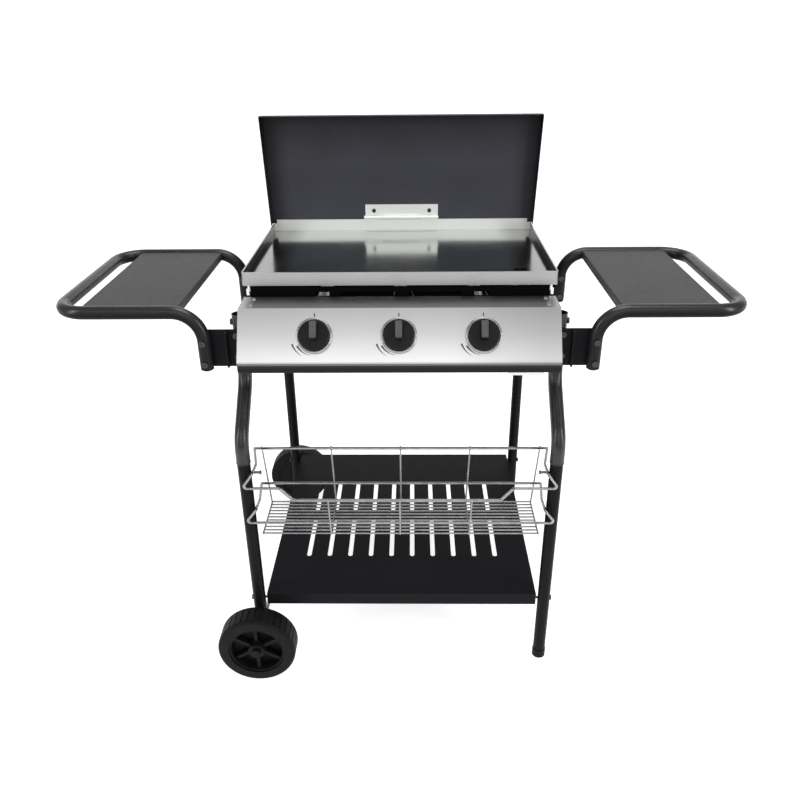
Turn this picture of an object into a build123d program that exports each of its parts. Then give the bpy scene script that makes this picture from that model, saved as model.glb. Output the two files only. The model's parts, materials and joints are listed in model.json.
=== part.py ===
from build123d import *
import math
import os

# Flat top griddle on a rolling tube cart. Millimetres, +Z up, +X to the cook's right,
# the cook stands on the -Y side. Origin on the floor, in the middle of the cart.

# ---- cart frame ----
LEG_X = 299.0            # leg centre line, left and right of the middle
LEG_Y = 282.0            # leg centre line below the bend, front and rear
LEG_TOP_Y = 190.0        # leg centre line above the bend
UPPER_R = 13.5           # upper leg tube
LOWER_R = 12.7           # lower leg tube
TUBE_WALL = 1.5
LEG_TOP_Z = 758.0
LEG_JOIN_Z = 490.0       # where the upper tube sleeves over the lower tube
BEND_TOP_Z = 625.0
BEND_LOW_Z = 535.0
BEND_R = 55.0
FOOT_H = 20.0
FOOT_R = 13.8

# ---- wheels ----
WHEEL_R = 80.0
WHEEL_W = 49.0
WHEEL_Y = 311.0          # inner face of each wheel
HUB_R = 17.0
AXLE_R = 5.0
AXLE_FIT = 0.05
RIM_R = 58.0

# ---- bottom shelf ----
SHELF_Z = 170.0
SHELF_HALF_X = 282.0
SHELF_HALF_Y = 285.0
SHELF_FLANGE = 27.0
SLOT_COUNT = 10
SLOT_PITCH = 46.3
SLOT_W = 10.0

# ---- burner box ----
BOX_X = 285.5            # outside of the side plates
BOX_FRONT = -204.0
BOX_REAR = 251.0
BOX_FLOOR = 690.0
BOX_TOP = 768.0
SHEET = 1.5
SHIELD_Y = -125.0
SHIELD_TOP = 788.0

# ---- control panel ----
PANEL_X = 297.0
STRIP_REAR_Y = -138.0
STRIP_Z = 772.0
FACE_TOP = (-202.0, 772.0)     # (y, z) of the upper edge of the sloping face
FACE_LOW = (-257.0, 684.0)     # (y, z) of the lower edge
FACE_TILT = math.degrees(math.atan2(FACE_TOP[0] - FACE_LOW[0], FACE_TOP[1] - FACE_LOW[1]))
KNOB_PITCH = 155.0
KNOB_YZ = (-229.5, 728.0)
KNOB_R = 28.5
KNOB_L = 22.0
BEZEL_R = 33.5
BEZEL_H = 7.0
STEM_R = 4.0
STEM_FIT = 0.05
PUSH = 4.0

# ---- griddle plate ----
GRIDDLE_X = 300.0
GRIDDLE_FRONT = -133.0
GRIDDLE_REAR = 251.0
GRIDDLE_BOTTOM = 792.5
GRIDDLE_TOP = 818.5
PLATE_T = 4.0
PLATE_TOP = 802.0        # cooking surface; the walls go on down past the plate
WALL_T = 3.0
GUARD_X = 291.0
GUARD_TOP = 828.0
DRAIN = (238.0, -66.0)
FOOT_PIN_R = 8.0

# ---- hood lid and its hinge ----
LID_X = 311.0            # half width at the free edge
LID_HINGE_X = 303.0      # half width at the hinged edge
LID_Y = 254.0            # inner face when the lid stands open
LID_LOW = 818.0
LID_TOP = 1056.0
LID_T = 1.2
LID_FLANGE = 22.0
LID_SCREWS = ((-64.0, 847.0), (64.0, 847.0))
HINGE_Y = 245.0
HINGE_Z = 833.0
HINGE_HALF = 84.0
BARREL_R = 4.5
PIN_R = 2.5
PIN_FIT = 0.05

# ---- side shelves ----
TABLE_R = 12.5           # tube radius
TABLE_Z = 771.0
TABLE_OUT_X = 631.0      # centre line of the outer tube
TABLE_END_X = 362.0      # centre line of the ends that turn down
TABLE_END_Z = 659.0
TABLE_BEND = 55.0
BRACKET_T = 3.0
BRACKET_SCREW_X = 304.5
TABLE_GAP = 0.4
TABLE_FRONT = -LEG_TOP_Y - UPPER_R - BRACKET_T - TABLE_GAP - TABLE_R
TABLE_REAR = LEG_TOP_Y - UPPER_R - BRACKET_T - TABLE_GAP - TABLE_R
PIVOT_Z = 672.0
LOCK_Z = 714.0
PLATE_IN_X = 404.0
PLATE_OUT_X = 584.0
PLATE_Z = 779.0

# ---- wire basket ----
RAIL_R = 2.8
WIRE_R = 1.7
BASKET_X = 303.0         # front corners, out in front of the legs
BASKET_CORNER = 12.0     # length of rail that belongs to each end wire
BASKET_LEG_X = 281.5     # where the end wires pass inside the legs
BASKET_REAR_X = 297.0
BASKET_FRONT = -301.0
BASKET_REAR = -191.0
BASKET_TOP = 443.0
BASKET_REAR_TOP = 468.0
BASKET_DIP = 416.0
BASKET_FLOOR = 336.0
BASKET_FLOOR_X = 272.0
BASKET_MID_Z = 363.0
BASKET_REAR_MID = 384.0

# ---- gas parts ----
MANIFOLD_Y = -166.0
MANIFOLD_Z = 712.0
MANIFOLD_R = 9.0
BURNER_R = 14.0
BURNER_Z = 738.0

# ---- grease tray ----
TRAY_X = 240.0
TRAY_W = 68.0
TRAY_LEDGE = 6.0         # flange along each side that rides on a rail
TRAY_FRONT = -214.0
TRAY_REAR = -40.0
TRAY_LOW = 641.0
TRAY_TOP = 661.0


def box(x0, x1, y0, y1, z0, z1):
    """Box between two corners."""
    return Pos((x0 + x1) / 2, (y0 + y1) / 2, (z0 + z1) / 2) * Box(x1 - x0, y1 - y0, z1 - z0)


def rod(start, end, r):
    """Round bar between two points."""
    a = Vector(*start)
    b = Vector(*end)
    return extrude(Plane(origin=a, z_dir=b - a) * Circle(r), (b - a).length)


def tube(start, end, r, wall):
    """Round tube between two points."""
    return rod(start, end, r) - rod(start, end, r - wall)


def swept(path, r, wall=0.0):
    """Bar or tube of radius r along a path."""
    start = Plane(origin=path @ 0, z_dir=path % 0)
    bar = sweep(start * Circle(r), path=path)
    if wall:
        bar -= sweep(start * Circle(r - wall), path=path)
    return bar


def wire(points, r, bend_r=6.0):
    """Bent wire with rounded corners."""
    if len(points) == 2:
        return rod(points[0], points[1], r)
    path = bent3d(points, bend_r)
    return sweep(Plane(origin=path @ 0, z_dir=path % 0) * Circle(r), path=path)


def bent3d(points, bend_r):
    """Path in space: straight runs joined by tangent arcs."""
    pts = [Vector(*p) for p in points]
    edges = []
    start = pts[0]
    for before, corner, after in zip(pts, pts[1:], pts[2:]):
        u = (before - corner).normalized()
        v = (after - corner).normalized()
        half = math.radians(u.get_angle(v)) / 2
        trim = bend_r / math.tan(half)
        a = corner + u * trim
        b = corner + v * trim
        edges.append(Line(start, a))
        edges.append(TangentArc(a, b, tangent=-u))
        start = b
    edges.append(Line(start, pts[-1]))
    return Wire(edges)


def screw(point, direction, shank_r, shank_l, head_r, head_h):
    """Pan head screw; point is under the head, direction runs from the tip to the head."""
    d = Vector(*direction).normalized()
    p = Vector(*point)
    head = rod(p, p + d * head_h, head_r)
    slot_plane = Plane(origin=p + d * (head_h * 0.6), z_dir=d)
    drive = extrude(slot_plane * Rectangle(head_r * 1.2, head_r * 0.28), head_h)
    drive += extrude(slot_plane * Rectangle(head_r * 0.28, head_r * 1.2), head_h)
    return head - drive + rod(p - d * shank_l, p, shank_r)


def face_frame(x):
    """Plane on the panel face at a knob, with its normal out of the face."""
    normal = Vector(0, -math.cos(math.radians(FACE_TILT)), math.sin(math.radians(FACE_TILT)))
    return Plane(origin=(x, *KNOB_YZ), x_dir=(1, 0, 0), z_dir=normal)


def disc(plane, r, low, high):
    """Cylinder on a plane between two heights."""
    return extrude(plane.offset(low) * Circle(r), high - low)


# ---- cart ----

def upper_leg(side, end):
    """Upper leg tube: straight, an S bend outward, and the sleeve over the lower leg."""
    x = side * LEG_X
    points = [
        (x, end * LEG_TOP_Y, LEG_TOP_Z),
        (x, end * LEG_TOP_Y, BEND_TOP_Z),
        (x, end * LEG_Y, BEND_LOW_Z),
        (x, end * LEG_Y, LEG_JOIN_Z),
    ]
    return swept(bent3d(points, BEND_R), UPPER_R, UPPER_R - LOWER_R + 0.2)


def lower_leg(side, end):
    """Lower leg tube; its top swages down and goes up inside the upper tube."""
    x = side * LEG_X
    low = 58.0 if side < 0 else 3.0
    leg = tube((x, end * LEG_Y, low), (x, end * LEG_Y, LEG_JOIN_Z - 1.0), LOWER_R, TUBE_WALL)
    leg += tube((x, end * LEG_Y, LEG_JOIN_Z - 3.0), (x, end * LEG_Y, LEG_JOIN_Z + 34.0),
                UPPER_R - 1.2, TUBE_WALL + 0.3)
    if side < 0:
        leg -= rod((x, end * (LEG_Y - 20), WHEEL_R), (x, end * (LEG_Y + 20), WHEEL_R), AXLE_R)
    return leg


def foot_caps():
    """Plastic caps under the two right legs."""
    caps = []
    for end in (-1, 1):
        cap = Pos(LEG_X, end * LEG_Y, FOOT_H / 2) * Cylinder(FOOT_R, FOOT_H)
        cap = chamfer(cap.edges().group_by(Axis.Z)[0], 1.5)
        caps.append(cap - Pos(LEG_X, end * LEG_Y, 3 + FOOT_H / 2) * Cylinder(LOWER_R, FOOT_H))
    return caps


def axle():
    """Steel rod through both left legs, with a wheel on each end."""
    end = WHEEL_Y + WHEEL_W + 3.0
    return rod((-LEG_X, -end, WHEEL_R), (-LEG_X, end, WHEEL_R), AXLE_R)


def axle_caps():
    """Push-on caps that keep the wheels on the axle."""
    out = WHEEL_Y + WHEEL_W
    caps = []
    for end in (-1, 1):
        cap = rod((-LEG_X, end * (out + 0.5), WHEEL_R), (-LEG_X, end * (out + 7), WHEEL_R), 9.0)
        caps.append(cap - rod((-LEG_X, 0, WHEEL_R), (-LEG_X, end * (out + 3), WHEEL_R), AXLE_R))
    return caps


def axle_spacers():
    """Bushes on the axle between each left leg and its wheel."""
    bushes = []
    for end in (-1, 1):
        a = (-LEG_X, end * (LEG_Y + LOWER_R), WHEEL_R)
        b = (-LEG_X, end * (WHEEL_Y - 0.5), WHEEL_R)
        bushes.append(rod(a, b, 9.0) - rod(a, b, AXLE_R))
    return bushes


def wheel_tyre(end):
    """Solid tyre with rounded shoulders and cross grooves in its tread."""
    mid = end * (WHEEL_Y + WHEEL_W / 2)
    turned = Plane(origin=(-LEG_X, mid, WHEEL_R), z_dir=(0, 1, 0))
    ring = extrude(turned * Circle(WHEEL_R), WHEEL_W / 2, both=True)
    ring = fillet(ring.edges().filter_by(GeomType.CIRCLE), 7.0)
    ring -= extrude(turned * Circle(RIM_R), WHEEL_W, both=True)
    groove = Pos(WHEEL_R, 0, 0) * Box(3.0, 2.2, WHEEL_W * 0.86)
    ring -= turned * PolarLocations(0.001, 36) * groove
    return ring


def wheel_hub(end):
    """Moulded hub: rim, web, six spokes on the outer side and a bored boss."""
    mid = end * (WHEEL_Y + WHEEL_W / 2)
    out = Plane(origin=(-LEG_X, mid, WHEEL_R), z_dir=(0, end, 0))
    half = WHEEL_W / 2
    hub = disc(out, RIM_R, -half + 3, half - 3) - disc(out, RIM_R - 5, 4 - half, half)
    hub += disc(out, RIM_R - 4, -3, 3)
    hub += disc(out, HUB_R, -half, half)
    spoke = Pos(RIM_R / 2, 0, 8) * Box(RIM_R - 6, 7, 16)
    for k in range(6):
        hub += out * Rot(0, 0, 60 * k) * spoke
    return hub - disc(out, AXLE_R + AXLE_FIT, -half - 1, half + 1)


def bottom_shelf():
    """Folded tray with two rows of slots, notched at its corners round the legs."""
    x, y = SHELF_HALF_X, SHELF_HALF_Y
    shelf = box(-x, x, -y, y, SHELF_Z - SHELF_FLANGE, SHELF_Z)
    shelf -= box(-x + SHEET, x - SHEET, -y + SHEET, y - SHEET, 0, SHELF_Z - SHEET)
    for k in range(SLOT_COUNT):
        sx = (k - (SLOT_COUNT - 1) / 2) * SLOT_PITCH
        for y0, y1 in ((18.0, 143.0), (-159.0, -20.0)):
            slot = Pos(sx, (y0 + y1) / 2, SHELF_Z) * SlotOverall(y1 - y0, SLOT_W, rotation=90)
            shelf -= extrude(slot, 5, both=True)
    return shelf


def bottom_shelf_bolts():
    """Four bolts through the legs into the sides of the bottom shelf."""
    bolts = []
    for side in (-1, 1):
        for end in (-1, 1):
            y = end * (LEG_Y - 3)
            z = SHELF_Z - 13
            outer = side * (LEG_X + LOWER_R)
            bolts.append(screw((outer, y, z), (side, 0, 0), 2.5, 33, 5.5, 3))
    return bolts


# ---- burner box ----

def box_floor():
    """Floor sheet of the burner box."""
    floor = box(-BOX_X + SHEET, BOX_X - SHEET, BOX_FRONT, BOX_REAR - SHEET, BOX_FLOOR, BOX_FLOOR + SHEET)
    return floor - Pos(*DRAIN, BOX_FLOOR) * Cylinder(15.0, 10)


def box_side(side):
    """Side sheet with a flange turned out under the griddle feet."""
    outer, inner = side * BOX_X, side * (BOX_X - SHEET)
    wall = box(min(outer, inner), max(outer, inner), BOX_FRONT, BOX_REAR, BOX_FLOOR, BOX_TOP)
    flange_out = side * (BOX_X + 12)
    flange = box(min(inner, flange_out), max(inner, flange_out), SHIELD_Y, BOX_REAR,
                 BOX_TOP - SHEET, BOX_TOP)
    wall += flange
    if side > 0:
        hole = rod((side * 250, MANIFOLD_Y, MANIFOLD_Z), (side * 320, MANIFOLD_Y, MANIFOLD_Z),
                   MANIFOLD_R + 1)
        wall -= hole
    return wall


def box_rear():
    """Rear sheet with a row of vent slots."""
    inner = BOX_X - SHEET
    wall = box(-inner, inner, BOX_REAR - SHEET, BOX_REAR, BOX_FLOOR, BOX_TOP)
    for k in range(-4, 5):
        slot = Pos(k * 58, BOX_REAR, 742) * Box(38, 10, 8)
        wall -= slot
    return wall


def heat_shield():
    """Upright sheet behind the control panel, with the air slots under the griddle."""
    inner = BOX_X - SHEET
    wall = box(-inner, inner, SHIELD_Y, SHIELD_Y + SHEET, BOX_FLOOR + SHEET, SHIELD_TOP)
    for x0, x1 in ((-162, -135), (-113, -9), (19, 119), (144, 175)):
        wall -= box(x0, x1, SHIELD_Y - 5, SHIELD_Y + 5, 769, 777)
    for k in (-1, 0, 1):
        x = k * KNOB_PITCH
        wall -= rod((x, SHIELD_Y - 9, BURNER_Z), (x, SHIELD_Y + 9, BURNER_Z), BURNER_R + 1)
    return wall


def control_panel():
    """Folded panel: top strip, sloping face and two end cheeks."""
    n = face_frame(0).z_dir
    outline = [
        (STRIP_REAR_Y, STRIP_Z),
        FACE_TOP,
        FACE_LOW,
        (FACE_LOW[0] - n.Y * SHEET, FACE_LOW[1] - n.Z * SHEET),
        (FACE_TOP[0] + SHEET * 0.8, STRIP_Z - SHEET),
        (STRIP_REAR_Y, STRIP_Z - SHEET),
    ]
    sheet = extrude(Plane.YZ * make_face(Polyline(*outline, close=True)), PANEL_X, both=True)
    cheek = [(BOX_FRONT - 1, STRIP_Z - 1), FACE_TOP, FACE_LOW, (BOX_FRONT - 1, FACE_LOW[1])]
    cheek_face = Plane.YZ * make_face(Polyline(*cheek, close=True))
    for side in (-1, 1):
        x = PANEL_X - SHEET if side > 0 else -PANEL_X
        sheet += Pos(x, 0, 0) * extrude(cheek_face, SHEET)
    for k in (-1, 0, 1):
        sheet -= disc(face_frame(k * KNOB_PITCH), 14.0, -8, 8)
    return sheet


def panel_lower_trim():
    """Black rolled edge under the panel face, closed and rounded at its ends."""
    y, z = FACE_LOW
    trim = box(-PANEL_X, PANEL_X, y + 1, BOX_FRONT, z - 20, z - 1)
    low = trim.edges().group_by(Axis.Z)[0]
    front = low.filter_by(Axis.X).group_by(Axis.Y)[0]
    trim = fillet(front + low.filter_by(Axis.Y), 5.0)
    return trim - box(-PANEL_X + 2, PANEL_X - 2, y + 3, BOX_FRONT + 1, z - 18, z)


def panel_screws():
    """Screws that hold the control panel's top strip down to the box."""
    screws = []
    for side in (-1, 1):
        for y in (-150.0, -185.0):
            point = (side * (BOX_X - 9), y, STRIP_Z)
            screws.append(screw(point, (0, 0, 1), 1.9, 5, 4.0, 2))
    return screws


def leg_bolts():
    """Two bolts through each upper leg into the side of the burner box."""
    bolts = []
    for side in (-1, 1):
        for end in (-1, 1):
            for z in (742.0, 706.0):
                point = (side * (LEG_X + UPPER_R), end * LEG_TOP_Y, z)
                bolts.append(screw(point, (side, 0, 0), 3.0, 34, 6.0, 3.5))
    return bolts


# ---- gas parts ----

def bezel(k):
    """Chrome ring on the panel face round one knob, with rounded inner and outer edges."""
    plane = face_frame(k * KNOB_PITCH)
    axis = Axis(plane.origin, plane.z_dir)
    ring = disc(plane, BEZEL_R, 0, BEZEL_H)
    ring -= disc(plane, KNOB_R + 0.8, 2.0, BEZEL_H + 1)
    ring -= disc(plane, 14.0, -1, 3)
    for place, radius in ((-1, 2.6), (0, 1.0)):
        top = ring.edges().filter_by(GeomType.CIRCLE).group_by(axis)[-1]
        ring = fillet(top.sort_by(SortBy.LENGTH)[place], radius)
    return ring


def valve(k):
    """Gas valve: cast body behind the panel, with the bore that the knob stem turns in."""
    plane = face_frame(k * KNOB_PITCH)
    body = disc(plane, 12.0, -34, -6)
    body += disc(plane, 9.0, -44, -34)
    body += extrude(plane.offset(-34) * Rectangle(26, 30), 14)
    body -= disc(plane, STEM_R + STEM_FIT, -26, 0)
    x = k * KNOB_PITCH
    clear = rod((x - 60, MANIFOLD_Y, MANIFOLD_Z), (x + 60, MANIFOLD_Y, MANIFOLD_Z), MANIFOLD_R)
    link = rod((x, MANIFOLD_Y, MANIFOLD_Z), plane.origin - plane.z_dir * 38, 7.0)
    return body + link - clear


def burner_jet(k):
    """Brass jet from the valve into the open mouth of its burner."""
    x = k * KNOB_PITCH
    jet = rod((x, MANIFOLD_Y, BURNER_Z), (x, SHIELD_Y - 6, BURNER_Z), 4.0)
    jet += rod((x, MANIFOLD_Y, MANIFOLD_Z + MANIFOLD_R - 1), (x, MANIFOLD_Y, BURNER_Z + 4), 4.5)
    jet -= rod((x - 60, MANIFOLD_Y, MANIFOLD_Z), (x + 60, MANIFOLD_Y, MANIFOLD_Z), MANIFOLD_R)
    return jet - rod((x, MANIFOLD_Y + 4, BURNER_Z), (x, SHIELD_Y, BURNER_Z), 1.0)


def manifold():
    """Gas pipe across the back of the panel, closed at its left end."""
    right = BOX_X + 2
    pipe = tube((-220, MANIFOLD_Y, MANIFOLD_Z), (right, MANIFOLD_Y, MANIFOLD_Z), MANIFOLD_R, 2.0)
    return pipe + rod((-224, MANIFOLD_Y, MANIFOLD_Z), (-218, MANIFOLD_Y, MANIFOLD_Z), MANIFOLD_R)


def gas_inlet():
    """Brass inlet: hex body and threaded nipple where a regulator hose screws on."""
    plane = Plane(origin=(BOX_X + 2, MANIFOLD_Y, MANIFOLD_Z), z_dir=(1, 0, 0))
    fitting = extrude(plane * RegularPolygon(11.0, 6), 9)
    fitting += disc(plane, 7.9, 9, 24)
    return fitting - disc(plane, 4.5, -1, 30)


def burner(k):
    """Stainless tube burner with a row of ports along each side."""
    x = k * KNOB_PITCH
    y0, y1 = SHIELD_Y - 2, 205.0
    pipe = tube((x, y0, BURNER_Z), (x, y1 - 2, BURNER_Z), BURNER_R, 1.2)
    pipe += rod((x, y1 - 3, BURNER_Z), (x, y1, BURNER_Z), BURNER_R)
    for j in range(16):
        y = -60 + j * 16
        pipe -= rod((x - 30, y, BURNER_Z + 4), (x + 30, y, BURNER_Z + 4), 1.4)
    return pipe


def burner_bar(y):
    """Cross bar that carries the three burners."""
    inner = BOX_X - SHEET
    bar = box(-inner, inner, y, y + 3, BURNER_Z - 26, BURNER_Z - 4)
    for k in (-1, 0, 1):
        x = k * KNOB_PITCH
        bar -= rod((x, y - 5, BURNER_Z), (x, y + 8, BURNER_Z), BURNER_R)
    return bar


def electrodes():
    """Spark electrode beside each burner, on the front burner bar."""
    pins = []
    for k in (-1, 0, 1):
        x = k * KNOB_PITCH + 26
        pin = rod((x, -36, BURNER_Z - 12), (x, -8, BURNER_Z - 12), 4.0)
        pin += wire([(x, -8, BURNER_Z - 12), (x, 8, BURNER_Z - 12), (x - 8, 14, BURNER_Z + 2)], 1.0, 3.0)
        pins.append(pin)
    return pins


# ---- knobs ----

def knob_collar(k):
    """Sleeve that carries one knob's stem and moves in and out with it."""
    plane = face_frame(k * KNOB_PITCH)
    return disc(plane, 11.0, -1.0, 2.0) - disc(plane, STEM_R + STEM_FIT, -2, 3)


def knob(k):
    """Round knob with a skirt, a straight grip bar and its stem."""
    plane = face_frame(k * KNOB_PITCH)
    body = disc(plane, KNOB_R, 6.5, 13.5)
    circles = body.edges().filter_by(GeomType.CIRCLE)
    body = fillet(circles.sort_by(Axis(plane.origin, plane.z_dir))[-1], 3.0)
    outline = plane.offset(13.0) * Pos(0, 8) * RectangleRounded(15.5, 37, 3.5)
    grip = extrude(outline, KNOB_L - 9, taper=4)
    grip = fillet(grip.edges().group_by(Axis(plane.origin, plane.z_dir))[-1], 2.0)
    stem = disc(plane, STEM_R, -20, 7)
    return body + grip + stem


# ---- griddle ----

def griddle_plate():
    """Stainless griddle: plate, walls, the higher guard at the back and the drain hole."""
    x, y0, y1 = GRIDDLE_X, GRIDDLE_FRONT, GRIDDLE_REAR
    t = WALL_T
    tray = box(-x, x, y0, y1, GRIDDLE_BOTTOM, GRIDDLE_TOP)
    tray = fillet(tray.edges().filter_by(Axis.Z), 3.0)
    tray -= box(-x + t, x - t, y0 + t, y1 - t, PLATE_TOP, 900)
    tray -= box(-x + t, x - t, y0 + t, y1 - t, 700, PLATE_TOP - PLATE_T)
    tray += box(-GUARD_X, GUARD_X, y1 - t, y1, PLATE_TOP, GUARD_TOP)
    hole = Pos(DRAIN[0], DRAIN[1], PLATE_TOP)
    return tray - extrude(hole * Rectangle(26, 16), 10, both=True)


def griddle_feet():
    """Under the griddle: four bright studs at its corners and the drain's square spout."""
    low = PLATE_TOP - PLATE_T
    feet = []
    for side in (-1, 1):
        for y in (-114.0, 232.0):
            x = side * 290.0
            foot = rod((x, y, BOX_TOP), (x, y, low), 4.0)
            feet.append(foot + rod((x, y, BOX_TOP), (x, y, BOX_TOP + 12), 7.0))
    mouth = Pos(DRAIN[0], DRAIN[1], low)
    spout = extrude(mouth * Rectangle(30, 20), -26)
    feet.append(spout - extrude(mouth * Rectangle(26, 16), 30, both=True))
    return feet


def hinge_fixed_leaf():
    """Lower hinge leaf on the guard, with the two end knuckles."""
    y = GRIDDLE_REAR - WALL_T
    leaf = box(-HINGE_HALF, HINGE_HALF, y - 2, y, PLATE_TOP + 3, HINGE_Z - 6)
    for side in (-1, 1):
        a, b = side * 44, side * HINGE_HALF
        arm = box(min(a, b), max(a, b), HINGE_Y - 1.5, y, HINGE_Z - 8, HINGE_Z)
        arm += rod((a, HINGE_Y, HINGE_Z), (b, HINGE_Y, HINGE_Z), BARREL_R)
        leaf += arm
    return leaf - rod((-100, HINGE_Y, HINGE_Z), (100, HINGE_Y, HINGE_Z), PIN_R)


def hinge_pin():
    """Pin through the three knuckles, with a head at one end."""
    pin = rod((-HINGE_HALF - 2, HINGE_Y, HINGE_Z), (HINGE_HALF + 1, HINGE_Y, HINGE_Z), PIN_R)
    return pin + rod((-HINGE_HALF - 3, HINGE_Y, HINGE_Z), (-HINGE_HALF - 0.5, HINGE_Y, HINGE_Z), 4.0)


def hinge_moving_leaf():
    """Upper hinge leaf on the lid, with the middle knuckle."""
    y = LID_Y
    leaf = box(-HINGE_HALF, HINGE_HALF, y - 2, y, HINGE_Z, 861)
    leaf += box(-43, 43, HINGE_Y + 1, y, HINGE_Z + 1, HINGE_Z + 4)
    leaf += rod((-43, HINGE_Y, HINGE_Z), (43, HINGE_Y, HINGE_Z), BARREL_R)
    for x, z in LID_SCREWS:
        leaf -= rod((x, y - 5, z), (x, y + 5, z), 2.5)
    return leaf - rod((-50, HINGE_Y, HINGE_Z), (50, HINGE_Y, HINGE_Z), PIN_R + PIN_FIT)


def lid_outline(inset):
    """Outline of the lid, a little wider at its free edge; inset moves its three flanges in."""
    low = LID_HINGE_X - inset
    high = LID_X - inset
    z = LID_LOW - inset
    corners = [(-low, z), (-high, LID_TOP - inset), (high, LID_TOP - inset), (low, z)]
    return make_face(Polyline(*corners, close=True))


def lid_shell():
    """Shallow folded hood: a flat sheet with flanges on three edges, standing open."""
    y = LID_Y
    back = Plane(origin=(0, y + LID_T, 0), x_dir=(1, 0, 0), z_dir=(0, -1, 0))
    pan = extrude(back * lid_outline(0), LID_FLANGE + LID_T)
    pan -= extrude(back.offset(LID_T) * lid_outline(LID_T), LID_FLANGE + 5)
    for x, z in LID_SCREWS:
        pan -= rod((x, y - 5, z), (x, y + 5, z), 2.0)
    return pan


def lid_screws():
    """Two screws through the hinge leaf into the lid."""
    return [screw((x, LID_Y - 2, z), (0, -1, 0), 2.0, 7, 4.5, 2) for x, z in LID_SCREWS]


# ---- side shelves ----

def table_frame(side):
    """Bent tube: two ends down at the brackets, out, and round the outer edge."""
    s = side
    points = [
        (s * TABLE_END_X, TABLE_FRONT, TABLE_END_Z),
        (s * TABLE_END_X, TABLE_FRONT, TABLE_Z),
        (s * TABLE_OUT_X, TABLE_FRONT, TABLE_Z),
        (s * TABLE_OUT_X, TABLE_REAR, TABLE_Z),
        (s * TABLE_END_X, TABLE_REAR, TABLE_Z),
        (s * TABLE_END_X, TABLE_REAR, TABLE_END_Z),
    ]
    frame = swept(bent3d(points, TABLE_BEND), TABLE_R, 1.5)
    for y in (TABLE_FRONT, TABLE_REAR):
        for z, r in ((PIVOT_Z, 3.05), (LOCK_Z, 3.2)):
            frame -= rod((s * TABLE_END_X, y - 20, z), (s * TABLE_END_X, y + 20, z), r)
    return frame


def table_plate(side):
    """Folded sheet that lies between the tubes, with a flange down along each edge."""
    x0, x1 = sorted((side * PLATE_IN_X, side * PLATE_OUT_X))
    y0 = TABLE_FRONT + TABLE_R - 0.5
    y1 = TABLE_REAR - TABLE_R + 0.5
    plate = box(x0, x1, y0, y1, PLATE_Z - 16, PLATE_Z)
    plate = fillet(plate.edges().filter_by(Axis.Y).group_by(Axis.Z)[-1], 2.5)
    plate -= box(x0 + SHEET, x1 - SHEET, y0 + SHEET, y1 - SHEET, PLATE_Z - 30, PLATE_Z - SHEET)
    for y in (TABLE_FRONT, TABLE_REAR):
        plate -= rod((x0 - 5, y, TABLE_Z), (x1 + 5, y, TABLE_Z), TABLE_R)
    return plate


def table_bracket(side, end):
    """Bracket plate between a leg and a shelf tube, with a folded inner edge."""
    s = side
    leg_face = end * LEG_TOP_Y - UPPER_R
    x0, x1 = sorted((s * (PANEL_X + 1.5), s * 378.0))
    plate = box(x0, x1, leg_face - BRACKET_T, leg_face, PIVOT_Z - 14, LOCK_Z + 18)
    plate = fillet(plate.edges().filter_by(Axis.Y), 5.0)
    f0, f1 = sorted((s * (LEG_X + UPPER_R + 8), s * (LEG_X + UPPER_R + 8 + BRACKET_T)))
    plate += box(f0, f1, leg_face - 16, leg_face, PIVOT_Z - 12, LOCK_Z + 16)
    for z in (PIVOT_Z, LOCK_Z):
        hole = rod((s * TABLE_END_X, leg_face - 9, z), (s * TABLE_END_X, leg_face + 9, z), 3.0)
        plate -= hole
        hole_x, hole_z = s * BRACKET_SCREW_X, z + 6
        plate -= rod((hole_x, leg_face - 9, hole_z), (hole_x, leg_face + 9, hole_z), 3.0)
    return plate


def bracket_screws(side):
    """Screws from the shelf brackets into the front and rear legs of one side."""
    screws = []
    for end in (-1, 1):
        y = end * LEG_TOP_Y - UPPER_R - BRACKET_T
        for z in (PIVOT_Z + 6, LOCK_Z + 6):
            screws.append(screw((side * BRACKET_SCREW_X, y, z), (0, -1, 0), 3.0, 9, 5.5, 3))
    return screws


def pivot_bolts(side):
    """Lower bolts that the shelf swings on."""
    bolts = []
    for end in (-1, 1):
        tube_y = TABLE_FRONT if end < 0 else TABLE_REAR
        back = end * LEG_TOP_Y - UPPER_R
        point = (side * TABLE_END_X, tube_y - TABLE_R - 0.4, PIVOT_Z)
        bolt = screw(point, (0, -1, 0), 3.0, back + 4 - point[1], 5.5, 3.2)
        nut = rod((point[0], back, PIVOT_Z), (point[0], back + 4, PIVOT_Z), 5.5)
        bolts.append(bolt + nut)
    return bolts


def lock_knobs(side):
    """Upper screws that hold the shelf level; they stay in the tube ends."""
    screws = []
    for y in (TABLE_FRONT, TABLE_REAR):
        point = (side * TABLE_END_X, y - TABLE_R, LOCK_Z)
        screws.append(screw(point, (0, -1, 0), 3.2, 2 * TABLE_R - 1, 5.5, 3.2))
    return screws


# ---- wire basket ----

def basket_front():
    """Front of the basket: dipped top rail, lower rail and the three risers between them."""
    y, x = BASKET_FRONT, BASKET_X - BASKET_CORNER
    top = [(-x, y, BASKET_TOP), (-232, y, BASKET_TOP), (-206, y, BASKET_DIP),
           (194, y, BASKET_DIP), (218, y, BASKET_TOP), (x, y, BASKET_TOP)]
    part = wire(top, RAIL_R, 12.0)
    part += rod((-x, y, BASKET_MID_Z), (x, y, BASKET_MID_Z), RAIL_R)
    for k in (-1, 0, 1):
        low = k * BASKET_FLOOR_X / 2
        part += rod((low, y, BASKET_FLOOR), (k * 139.0, y, BASKET_DIP), WIRE_R)
    return part


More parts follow.
